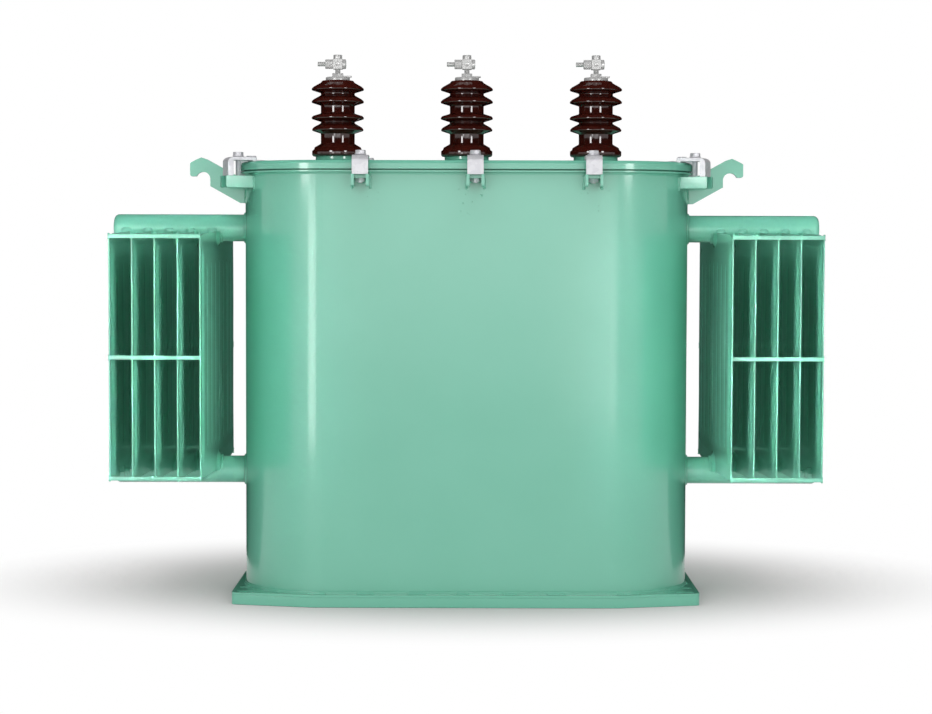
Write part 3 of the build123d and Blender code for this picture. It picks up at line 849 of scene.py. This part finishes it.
def makeTerminals():
    half = terminal["blockHalf"] * mm
    tall = terminal["blockHeight"] * mm
    around = terminal["threadSegments"]
    for side in ("left", "middle", "right"):
        seat = bushingEnds(side)[1]
        shape = newShape()
        addTurned(shape, seat, up, right, scaled(terminal["cap"]), terminal["capSegments"])
        level = seat + up * terminal["cap"][-1][1] * mm
        reach, wide, thick = terminal["tab"]
        edge = terminal["tabEdge"] * mm
        addSlab(shape, level + up * thick / 2 * mm, right, front * wide * mm, up * thick / 2 * mm,
                reach * mm, edge, edge)
        addHexagon(shape, level, up, right, terminal["nutFlats"] * mm, terminal["nutHeight"] * mm)
        level += up * terminal["nutHeight"] * mm
        thread = threadPath(terminal["stem"], 0, terminal["stemHeight"], terminal["threadPitch"],
                            terminal["threadDepth"])
        addTurned(shape, level, up, right, scaled(thread), around)
        level += up * terminal["stemHeight"] * mm
        middle = level + up * tall / 2
        dimple = [(radius * mm, depth * mm) for radius, depth in terminal["dimple"]]
        addSlab(shape, middle - front * half, front, right * half, up * tall / 2, 2 * half,
                terminal["blockCorner"] * mm, terminal["blockEdge"] * mm, dimple)
        addHexagon(shape, level + up * tall, up, front, terminal["screwFlats"] * mm,
                   terminal["screwHeight"] * mm)
        out = middle - right * half
        sleeve = terminal["sleeve"]
        length = terminal["sleeveLength"]
        chamfer = terminal["sleeveChamfer"]
        path = [(sleeve - chamfer, 0), (sleeve, chamfer), (sleeve, length - chamfer),
                (sleeve - chamfer, length)]
        addTurned(shape, out, -right, up, scaled(path), terminal["sleeveSegments"], knurlForm)
        thread = threadPath(terminal["stud"], length, terminal["studLength"], terminal["threadPitch"],
                            terminal["threadDepth"])
        addTurned(shape, out, -right, up, scaled(thread), around)
        addTurned(shape, middle + right * half, right, up, scaled(terminal["tail"]),
                  terminal["tailSegments"])
        makePiece(f"hv_terminal_{side}_turned", shape, "tinned", (f"hv_terminal_{side}",), sharpAngle=30)


makeTerminals()
print("terminals made")


# The clamps' bolts, in millimetres: chamfered heads on washers, rolled threads, nuts below
bolt = {
    "flats": 20,
    "head": 7.5,
    "washer": ((12.1, 0), (12.5, 0.4), (12.5, 1.7), (11.9, 2.2)),
    "shank": 6,
    "nut": 8,
    "tip": 2,
    "pitch": 1.75,
    "threadDepth": 0.6,
    "sink": 3.6,
    "threadSegments": 28,
    "washerSegments": 40,
}


def makeBolts():
    thick = bolt["washer"][-1][1]
    shape = newShape()
    random.seed(5)
    for station in stations:
        turn = random.uniform(0, pi / 3)
        side = Vector((cos(turn), sin(turn), 0))
        foot = Vector((station["bolt"].x, station["bolt"].y, station["low"]))
        top = station["high"] - station["low"] - bolt["sink"] * mm
        under = top - (bolt["head"] + thick) * mm
        thread = threadPath(bolt["shank"], 0, under / mm, bolt["pitch"], bolt["threadDepth"])
        addTurned(shape, foot, up, side, scaled(thread), bolt["threadSegments"])
        addHexagon(shape, foot + up * bolt["tip"] * mm, up, side, bolt["flats"] * mm, bolt["nut"] * mm)
        addTurned(shape, foot + up * under, up, side, scaled(bolt["washer"]), bolt["washerSegments"])
        addHexagon(shape, foot + up * (under + thick * mm), up, side, bolt["flats"] * mm, bolt["head"] * mm)
    makePiece("clamp_bolts_cut", shape, "galvanised", ("clamp_bolts",), sharpAngle=30)


makeBolts()
print("clamp bolts made:", len(stations))


# Welds, in millimetres: the beads' radii, how far out their routes run, the stitches' lengths and
# gaps in steps, and the lumps
seam = {
    "pipe": 4.0,
    "foot": 2.2,
    "stitch": 2.9,
    "ear": 2.4,
    "hook": 3.2,
    "seat": 1.6,
    "collar": 2.6,
    "pipeOut": 0.8,
    "footOut": 0.6,
    "earOut": 0.6,
    "earBelow": 1.5,
    "hookOut": 0.8,
    "hookBelow": 1,
    "seatOut": 0.4,
    "stitchRise": 1,
    "collarOut": 11.5,
    "collarGap": 0.5,
    "braceSide": 44,
    "braceLevels": (10, 32),
    "stitchStep": 3.2,
    "stitchStart": 6,
    "stitchEnd": 30,
    "stitchLengths": (10, 17),
    "stitchGaps": (12, 26),
    "tack": (3.4, 2.6, 3.0),
    "tackShares": (0.8, 1.15),
    "tackBelow": 0.8,
    "lump": (12.5, 5, 8),
    "lumpOut": 8,
    "lumpSide": 1,
    "lumpRise": 2,
    "lumpShare": 0.9,
    "lumpUnevenness": 0.2,
    "lumpsPerMetre": 50,
    "crossing": (2.6, 2.0, 2.3),
    "crossingGap": 0.5,
}


def rootOf(nodeName):
    # lowest and highest point of a hook where it meets the tank
    points = [vert.co for vert in nodes[nodeName].data.vertices]
    rootWidth = 2 * mm
    nearest = min(abs(point.x) for point in points)
    levels = [point.z for point in points if abs(point.x) < nearest + rootWidth]
    return min(levels), max(levels)


def makeTankWelds():
    # round the wall's foot, in stitches along the base, down the brackets' sides, up the hooks, round
    # the headers' ends and round the bushings' seats
    shape = newShape()
    random.seed(11)
    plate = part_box("tank_bottom")[1]
    addBead(shape, outlineRoute(seam["footOut"] * mm, plate.z), seam["foot"] * mm, True)
    around = outlineRoute(plate.y - halfDepth, baseTop + seam["stitchRise"] * mm)
    around = evenRoute(around, seam["stitchStep"] * mm, True)
    start = seam["stitchStart"]
    while start < len(around) - seam["stitchEnd"]:
        length = random.randint(*seam["stitchLengths"])
        addBead(shape, around[start:start + length], seam["stitch"] * mm)
        start += length + random.randint(*seam["stitchGaps"])
    half = (bracketHigh.x - bracketLow.x) / 2 + seam["earOut"] * mm
    for station in stations:
        for side in (-1, 1):
            low = wallPoint(station, side * half, bracketLow.z - seam["earBelow"] * mm)
            high = wallPoint(station, side * half, bracketHigh.z)
            addBead(shape, [low, high], seam["ear"] * mm)
            size = Vector(seam["tack"]) * random.uniform(*seam["tackShares"]) * mm
            addBlob(shape, low - up * seam["tackBelow"] * mm, size)
    for side, sign in sideSigns.items():
        low, high = rootOf(f"lifting_hook_{side}")
        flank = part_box(f"lifting_hook_{side}")[1].y + seam["hookOut"] * mm
        for face in (-1, 1):
            addBead(shape, [onRoundEnd(sign, face * flank, low - seam["hookBelow"] * mm),
                            onRoundEnd(sign, face * flank, high)], seam["hook"] * mm)
        lower, upper = seam["braceLevels"]
        addBead(shape, [onRoundEnd(sign, -flank, low + lower * mm),
                        onRoundEnd(sign, -seam["braceSide"] * mm, low + upper * mm)], seam["hook"] * mm)
        for level in ("lower", "upper"):
            pipeLow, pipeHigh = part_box(f"{level}_header_{side}")
            middle = (pipeLow.z + pipeHigh.z) / 2
            reach = (pipeHigh.z - pipeLow.z) / 2 + seam["pipeOut"] * mm
            ring = [onRoundEnd(sign, reach * cos(angle), middle + reach * sin(angle))
                    for angle in anglesRound(40)]
            addBead(shape, ring, seam["pipe"] * mm, True)
    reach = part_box("hv_seats")[1].y + seam["seatOut"] * mm
    for side in ("left", "middle", "right"):
        middle = bushingEnds(side)[0].x
        ring = [Vector((middle + reach * cos(angle), reach * sin(angle), coverTop))
                for angle in anglesRound(48)]
        addBead(shape, ring, seam["seat"] * mm, True)
    makePiece("tank_welds", shape, "enamel", (), sharpAngle=60)


def makeFinWelds():
    steps = 24
    for side, sign in sideSigns.items():
        shape = newShape()
        barLow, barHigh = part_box(f"tie_bars_{side}")
        barHalf = fin["barHalf"]
        for number in range(1, 6):
            low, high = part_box(f"fin_{side}_{number}")
            middle = (low.x + high.x) / 2
            for centre in fin["headers"]:
                reach = fin["headerRadius"] + seam["collarGap"] * mm
                upper = centre > (fin["top"] + fin["bottom"]) / 2
                rise = finEdge(reach, fin["top"], 1) if upper else finEdge(reach, fin["bottom"], -1)
                across = sqrt(max(reach**2 - (rise - centre)**2, 0))
                first = atan2(rise - centre, across)
                last = pi - first
                if upper:
                    last -= 2 * pi
                for face in (-1, 1):
                    arc = []
                    for i in range(steps + 1):
                        angle = first + (last - first) * i / steps
                        arc.append(Vector((middle + face * seam["collarOut"] * mm, reach * cos(angle),
                                           centre + reach * sin(angle))))
                    addBead(shape, arc, seam["collar"] * mm)
                uneven = noise.noise(Vector((middle, rise, 0)) * seam["lumpsPerMetre"])
                lump = Vector(seam["lump"]) * mm * (seam["lumpShare"] + seam["lumpUnevenness"] * uneven)
                for face in (-1, 1):
                    spot = Vector((middle + sign * seam["lumpOut"] * mm,
                                   face * (across + seam["lumpSide"] * mm), rise + seam["lumpRise"] * mm))
                    addBlob(shape, spot, lump)
            away = barHalf + seam["crossingGap"] * mm
            for level in (barLow.z + barHalf, (barLow.z + barHigh.z) / 2, barHigh.z - barHalf):
                for face in (-1, 1):
                    for rise in (-1, 1):
                        spot = Vector((middle, face * fin["half"], level + rise * away))
                        addBlob(shape, spot, Vector(seam["crossing"]) * mm)
        makePiece(f"fin_welds_{side}", shape, "enamel", (), sharpAngle=60)


# Drops of metal thrown off while welding, caught under the paint, in millimetres: how many there
# are and how large, how far they lie beside and below a bracket, and how they lie on the base
spatter = {
    "count": 80,
    "sizes": (0.7, 1.5),
    "beside": 38,
    "below": 4,
    "fall": 60,
    "out": 9,
    "step": 4,
    "scatter": 3,
    "flatShare": 0.6,
}


def makeSpatter():
    shape = newShape()
    random.seed(23)
    for i in range(spatter["count"]):
        station = random.choice(stations)
        level = bracketLow.z - spatter["below"] * mm - random.random() ** 2 * spatter["fall"] * mm
        spot = wallPoint(station, random.uniform(-1, 1) * spatter["beside"] * mm, level)
        size = random.uniform(*spatter["sizes"]) * mm
        addBlob(shape, spot, Vector((size, size, size)))
    around = evenRoute(outlineRoute(spatter["out"] * mm, baseTop), spatter["step"] * mm, True)
    for i in range(spatter["count"]):
        spot = random.choice(around)
        astray = Vector((random.uniform(-1, 1), random.uniform(-1, 1), 0)) * spatter["scatter"] * mm
        size = random.uniform(*spatter["sizes"]) * mm
        addBlob(shape, spot + astray, Vector((size, size, size * spatter["flatShare"])))
    makePiece("weld_spatter", shape, "enamel", (), sharpAngle=60)


makeTankWelds()
makeFinWelds()
makeSpatter()
print("welds laid")


# A stepped drain plug low on each outermost fin, in millimetres
finPlug = {
    "across": -190,
    "level": 296,
    "sunk": 3,
    "flats": 24,
    "boss": 7,
    "steps": ((9.6, 0), (9.6, 5), (7, 5.6), (7, 11)),
    "head": 12,
    "headHeight": 5,
    "headCorner": 1,
    "headEdge": 0.7,
    "segments": 40,
}


def makeFinPlugs():
    for side, sign in sideSigns.items():
        low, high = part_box(f"fin_{side}_5")
        face = high.x if sign < 0 else low.x
        inward = right * -sign
        shape = newShape()
        start = Vector((face + sign * finPlug["sunk"] * mm, finPlug["across"] * mm, finPlug["level"] * mm))
        boss = (finPlug["boss"] + finPlug["sunk"]) * mm
        addHexagon(shape, start, inward, up, finPlug["flats"] * mm, boss)
        start += inward * boss
        addTurned(shape, start, inward, up, scaled(finPlug["steps"]), finPlug["segments"])
        start += inward * finPlug["steps"][-1][1] * mm
        head = finPlug["head"] / 2 * mm
        addSlab(shape, start, inward, up * head, front * -head, finPlug["headHeight"] * mm,
                finPlug["headCorner"] * mm, finPlug["headEdge"] * mm)
        makePiece(f"fin_plug_{side}", shape, "enamel", (), sharpAngle=30)


makeFinPlugs()
print("fin plugs made")


# Everything flat-sided keeps its CAD shape, with its sharp edges rolled over as paint or zinc leaves
# them, and the clamps' straps lie lower over the cover. Radii in millimetres, for the node of this
# name or for those of its sides; angles in degrees
rolled = {"sharpest": 30, "shading": 40, "flattest": 0.5, "rounds": 2, "strapRiseShare": 0.68}
edgeRadii = {
    "base_plate": 0.9,
    "base_lips": 1.2,
    "hv_seats": 1.0,
    "lifting_hook": 1.1,
    "clamp_brackets": 0.9,
    "tie_bars": 0.8,
    "drain_plug": 0.9,
    "cover_clamps": 1.0,
    "earth_terminal": 0.6,
    "lv_terminals": 0.6,
}


def slotOf(nodeName):
    return nodes[nodeName].data.materials[0].name.split(".")[0]


def softenedCopy(nodeName, edgeRadius):
    work = bmesh.new()
    work.from_mesh(nodes[nodeName].data)
    if nodeName.startswith("cover_clamps"):
        for vert in work.verts:
            if vert.co.z > coverTop:
                vert.co.z = coverTop + (vert.co.z - coverTop) * rolled["strapRiseShare"]
    bmesh.ops.remove_doubles(work, verts=work.verts, dist=sameSpot)
    bmesh.ops.dissolve_limit(work, angle_limit=radians(rolled["flattest"]), verts=work.verts,
                             edges=work.edges)
    sharpest = radians(rolled["sharpest"])
    sharp = [edge for edge in work.edges if edge.is_manifold and edge.calc_face_angle() > sharpest]
    bmesh.ops.bevel(work, geom=sharp, offset=edgeRadius, segments=rolled["rounds"], profile=0.5,
                    affect="EDGES", clamp_overlap=True)
    mesh = bpy.data.meshes.new(nodeName + "_soft")
    work.to_mesh(mesh)
    work.free()
    mesh.shade_smooth()
    mesh.set_sharp_from_angle(angle=radians(rolled["shading"]))
    draft = bpy.data.objects.new("draft", mesh)
    bpy.context.scene.collection.objects.link(draft)
    weigh = draft.modifiers.new("weigh", "WEIGHTED_NORMAL")
    weigh.keep_sharp = True
    settled = bpy.data.meshes.new_from_object(draft.evaluated_get(bpy.context.evaluated_depsgraph_get()))
    bpy.data.objects.remove(draft)
    settled.name = nodeName + "_soft"
    addPiece(nodeName + "_soft", settled, slotOf(nodeName), (nodeName,))


for kind, radius in edgeRadii.items():
    for side in ("", "_front", "_rear", "_left", "_right"):
        if kind + side in nodes:
            softenedCopy(kind + side, radius * mm)
print("edges rolled over")

for nodeName, obj in nodes.items():
    slotName = slotOf(nodeName)
    for holder in obj.material_slots:
        holder.material = finishes[slotName]
print("finishes laid on the CAD pieces that show")


# Stage, in metres: a pale floor with painted shade, seen darker than it lights the object, that fades to
# white in an oval round the object, and a white surround
stage = {
    "floorColour": "#E6E4E4",
    "paintedShadeColour": "#CFCCCC",
    "floorRadius": 14,
    "floorSides": 64,
    "floorDrop": 0.0005,
    "paintedShadeBack": 0.2,
    "paintedShadeSquash": 1.5,
    "nearRadius": 0.5,
    "farRadius": 1.32,
    "surroundLevel": 0.80,
}


def seenPlainly(tree):
    # 1 for what the camera sees, directly, in a reflection or through glass, and 0 for lighting
    path = addNode(tree, "LightPath")
    seen = addNode(tree, "Math", {"operation": "MAXIMUM"},
                   {0: path.outputs["Is Camera Ray"], 1: path.outputs["Is Glossy Ray"]})
    return addNode(tree, "Math", {"operation": "MAXIMUM"},
                   {0: seen.outputs[0], 1: path.outputs["Is Transmission Ray"]})


def makeFloor():
    material, tree, place = startMaterial("matt studio floor")
    seen = seenPlainly(tree)
    # the painted shade is an oval round a point a little behind the object's middle, fading to white
    squash = stage["paintedShadeSquash"]
    shaped = addNode(tree, "VectorMath", {"operation": "MULTIPLY_ADD", 1: (1, squash, 1),
                                          2: (0, -squash * stage["paintedShadeBack"], 0)}, {0: place})
    away = addNode(tree, "VectorMath", {"operation": "LENGTH"}, {0: shaped.outputs[0]})
    fade = addNode(tree, "MapRange", {"interpolation_type": "SMOOTHSTEP", "From Min": stage["nearRadius"],
                                      "From Max": stage["farRadius"]},
                   {"Value": away.outputs["Value"]})
    share = addNode(tree, "Math", {"operation": "MULTIPLY"}, {0: seen.outputs[0], 1: fade.outputs[0]})
    # painted shade: the camera and reflections see the floor in the darker colour, while light bounces off
    # it in the paler one
    colour = addNode(tree, "Mix", {"data_type": "RGBA", 6: toLinear(stage["floorColour"]),
                                   7: toLinear(stage["paintedShadeColour"])}, {0: seen.outputs[0]})
    near = addNode(tree, "BsdfDiffuse", {}, {"Color": colour.outputs[2]})
    far = addNode(tree, "Emission", {"Color": (1, 1, 1, 1), "Strength": 1})
    both = addNode(tree, "MixShader", {}, {0: share.outputs[0], 1: near.outputs[0], 2: far.outputs[0]})
    endMaterial(tree, both)
    ring = [Vector((cos(angle), sin(angle), 0)) * stage["floorRadius"]
            for angle in anglesRound(stage["floorSides"])]
    mesh = bpy.data.meshes.new("floor")
    mesh.from_pydata(ring, [], [list(range(len(ring)))])
    mesh.materials.append(material)
    floor = bpy.data.objects.new("floor", mesh)
    floor.location.z = -stage["floorDrop"]
    bpy.context.scene.collection.objects.link(floor)


def makeSurround():
    world = bpy.data.worlds.new("white surround")
    bpy.context.scene.world = world
    world.use_nodes = True
    tree = world.node_tree
    tree.nodes.clear()
    seen = seenPlainly(tree)
    dim = addNode(tree, "Background", {"Color": (1, 1, 1, 1), "Strength": stage["surroundLevel"]})
    white = addNode(tree, "Background", {"Color": (1, 1, 1, 1), "Strength": 1})
    both = addNode(tree, "MixShader", {}, {0: seen.outputs[0], 1: dim.outputs[0], 2: white.outputs[0]})
    addNode(tree, "OutputWorld", {}, {"Surface": both.outputs[0]})


# Lamps: where each panel stands, what it faces, its width and height in metres, its brightness as
# seen, how far in from its edges the light fades (0 for a hard edge, 1 to its middle), how wide its
# beam is in degrees where it isn't 180, and whether it lights the surfaces or shines in their gloss.
# A pair is given for the right and mirrored to the left
lampPairs = {
    "key": {"place": (1.5, -4.4, 1.7), "aim": (0.1, 0, 0.6), "size": (0.6, 1.2), "level": 7,
            "fade": 0.4, "work": "light"},
    "front": {"place": (0.95, -5.5, 1.6), "aim": (0, 0, 0.6), "size": (0.8, 1.0), "level": 6,
              "fade": 0.4, "work": "light"},
    "spot": {"place": (1.40, -3.63, 1.25), "aim": (-0.65, -0.25, 0.53), "size": (0.34, 0.72),
             "level": 2.5, "fade": 0.3, "beam": 9, "work": "light"},
    "back": {"place": (0.35, 4.0, 0.75), "aim": (0.67, 0, 0.53), "size": (0.34, 0.72), "level": 3,
             "fade": 0.3, "beam": 8, "work": "light"},
}
lamps = {
    "overhead": {"place": (0, -1.0, 3.2), "aim": (0, 0, 0.8), "size": (3.4, 1.8), "level": 2.0,
                 "fade": 0.6, "work": "light"},
    "glowLeft": {"place": (-1.6, -3.9, 0.40), "aim": (-0.2, 0, 0.4), "size": (0.9, 1.6), "level": 5.5,
                 "fade": 0.4, "work": "gloss"},
    "glowRight": {"place": (0.95, -4.5, 0.40), "aim": (0.2, 0, 0.4), "size": (1.4, 1.6), "level": 2.6,
                  "fade": 0.8, "work": "gloss"},
    "glowFront": {"place": (0, -5.7, 1.1), "aim": (0, 0, 1.1), "size": (5.0, 2.6), "level": 2.0,
                  "fade": 1, "work": "gloss"},
    "stripLeft": {"place": (-1.55, -2.4, 1.29), "aim": (-0.1, 0, 1.1), "size": (0.62, 0.60), "level": 15,
                  "fade": 0.3, "work": "gloss"},
    "stripRight": {"place": (1.55, -2.4, 1.29), "aim": (0.1, 0, 1.1), "size": (0.58, 0.60), "level": 14,
                   "fade": 0.3, "work": "gloss"},
}


def fadeLamp(data, share):
    # the light thins out towards a panel's edges, as it does through diffusing cloth
    data.use_nodes = True
    tree = data.node_tree
    tree.nodes.clear()
    place = addNode(tree, "NewGeometry").outputs["Parametric"]
    parts = addNode(tree, "SeparateXYZ", {}, {0: place})
    levels = []
    for axis in (0, 1):
        centred = addNode(tree, "MapRange", {"To Min": -1, "To Max": 1}, {"Value": parts.outputs[axis]})
        far = addNode(tree, "Math", {"operation": "ABSOLUTE"}, {0: centred.outputs[0]})
        level = addNode(tree, "MapRange", {"interpolation_type": "SMOOTHSTEP", "From Min": 1,
                                           "From Max": 1 - share}, {"Value": far.outputs[0]})
        levels.append(level.outputs[0])
    both = addNode(tree, "Math", {"operation": "MULTIPLY"}, {0: levels[0], 1: levels[1]})
    glow = addNode(tree, "Emission", {"Color": (1, 1, 1, 1)}, {"Strength": both.outputs[0]})
    addNode(tree, "OutputLight", {}, {"Surface": glow.outputs[0]})


def makeLamp(name, lamp, mirror=1):
    data = bpy.data.lights.new(name, "AREA")
    data.shape = "RECTANGLE"
    data.size, data.size_y = lamp["size"]
    data.energy = lamp["level"] * pi * data.size * data.size_y
    data.spread = radians(lamp.get("beam", 180))
    fadeLamp(data, lamp["fade"])
    light = bpy.data.objects.new(name, data)
    mirrored = Vector((mirror, 1, 1))
    light.location = Vector(lamp["place"]) * mirrored
    aim = Vector(lamp["aim"]) * mirrored - light.location
    light.rotation_euler = aim.to_track_quat("-Z", "Y").to_euler()
    light.visible_camera = False
    light.visible_glossy = lamp["work"] == "gloss"
    light.visible_diffuse = lamp["work"] == "light"
    bpy.context.scene.collection.objects.link(light)


def makeLamps():
    for name, lamp in lampPairs.items():
        makeLamp(name + "Left", lamp, -1)
        makeLamp(name + "Right", lamp)
    for name, lamp in lamps.items():
        makeLamp(name, lamp)


# A black drape that keeps the porcelain's shine dark, in metres and degrees: hung all round and
# over the top, with a low window round the front and a part laid on the floor behind the object.
# Only reflections see it, and its grain is in millimetres
drape = {
    "colour": "#0C0C0C",
    "paleColour": "#141414",
    "grainSize": 30,
    "radius": 5.3,
    "height": 9,
    "folds": 60,
    "foldDepth": 0.04,
    "panels": 360,
    "windowSweep": 200,
    "windowTop": 1.20,
    "floorSweep": 172,
    "floorInner": 0.9,
    "floorLift": 0.001,
}


def makeDrape():
    material, tree, place = startMaterial("black wool drape")
    colour = mottle(tree, place, drape["colour"], drape["paleColour"], drape["grainSize"], 2)[0]
    shader = addNode(tree, "BsdfDiffuse", {}, {"Color": colour})
    endMaterial(tree, shader)
    points = []
    faces = []
    count = drape["panels"]
    radius = drape["radius"]
    top = drape["height"]
    lift = drape["floorLift"]
    for i in range(count):
        here = 360 * (i + 1) / count
        foot = drape["windowTop"] if abs(here - 270) < drape["windowSweep"] / 2 else 0
        spans = [((radius, foot), (radius, top)), ((0, top), (radius, top))]
        if abs(here - 90) < drape["floorSweep"] / 2:
            spans.append(((drape["floorInner"], lift), (radius, lift)))
        for span in spans:
            start = len(points)
            for share in (0.5, 1.5):
                turn = 2 * pi * (i + share) / count
                fold = drape["foldDepth"] * sin(drape["folds"] * turn)
                for reach, level in span:
                    points.append(Vector(((reach + fold) * cos(turn), (reach + fold) * sin(turn), level)))
            faces.append((start, start + 1, start + 3, start + 2))
    mesh = bpy.data.meshes.new("drape")
    mesh.from_pydata(points, [], faces)
    mesh.materials.append(material)
    hung = bpy.data.objects.new("drape", mesh)
    hung.visible_camera = False
    hung.visible_diffuse = False
    hung.visible_shadow = False
    hung.visible_transmission = False
    bpy.context.scene.collection.objects.link(hung)


makeFloor()
makeSurround()
makeLamps()
makeDrape()
bpy.context.scene.view_settings.view_transform = "Standard"
print("stage and lamps set")
